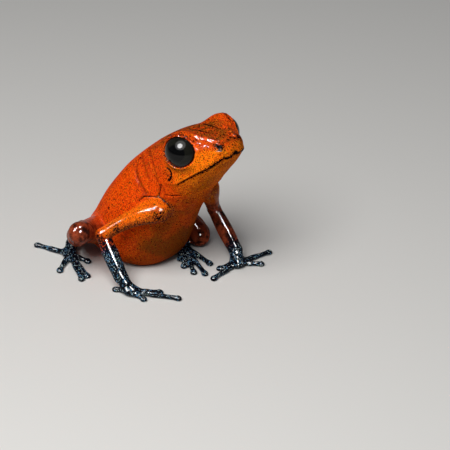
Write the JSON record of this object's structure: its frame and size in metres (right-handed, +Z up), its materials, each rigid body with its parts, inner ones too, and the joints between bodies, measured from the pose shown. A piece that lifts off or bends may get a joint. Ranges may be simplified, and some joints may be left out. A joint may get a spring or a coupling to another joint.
{
  "type": "strawberry poison dart frog",
  "caption": "Still, life-size model of a strawberry poison dart frog sitting up on spread hands, orange-red with dark blue limbs.",
  "frame": {"origin": "middle of the model's footprint on the floor", "axes": "+X the way the frog faces, +Y its left, +Z up"},
  "size_m": [0.019, 0.016, 0.0151],
  "materials": {
    "orange_skin": "moist, finely grained orange-red skin with small black flecks",
    "blue_skin": "moist, finely grained blue-black skin with pale blue speckles",
    "eye": "wet, glossy black"
  },
  "bodies": {
    "root": {"head": "orange_skin", "torso": "orange_skin", "eye_right": "eye", "eye_left": "eye", "upper_arm_right": "orange_skin", "forearm_right": "blue_skin", "hand_right": "blue_skin", "thigh_right": "blue_skin", "shank_right": "blue_skin", "tarsus_right": "blue_skin", "foot_right": "blue_skin", "upper_arm_left": "orange_skin", "forearm_left": "blue_skin", "hand_left": "blue_skin", "thigh_left": "blue_skin", "shank_left": "blue_skin", "tarsus_left": "blue_skin", "foot_left": "blue_skin"}
  },
  "joints": []
}
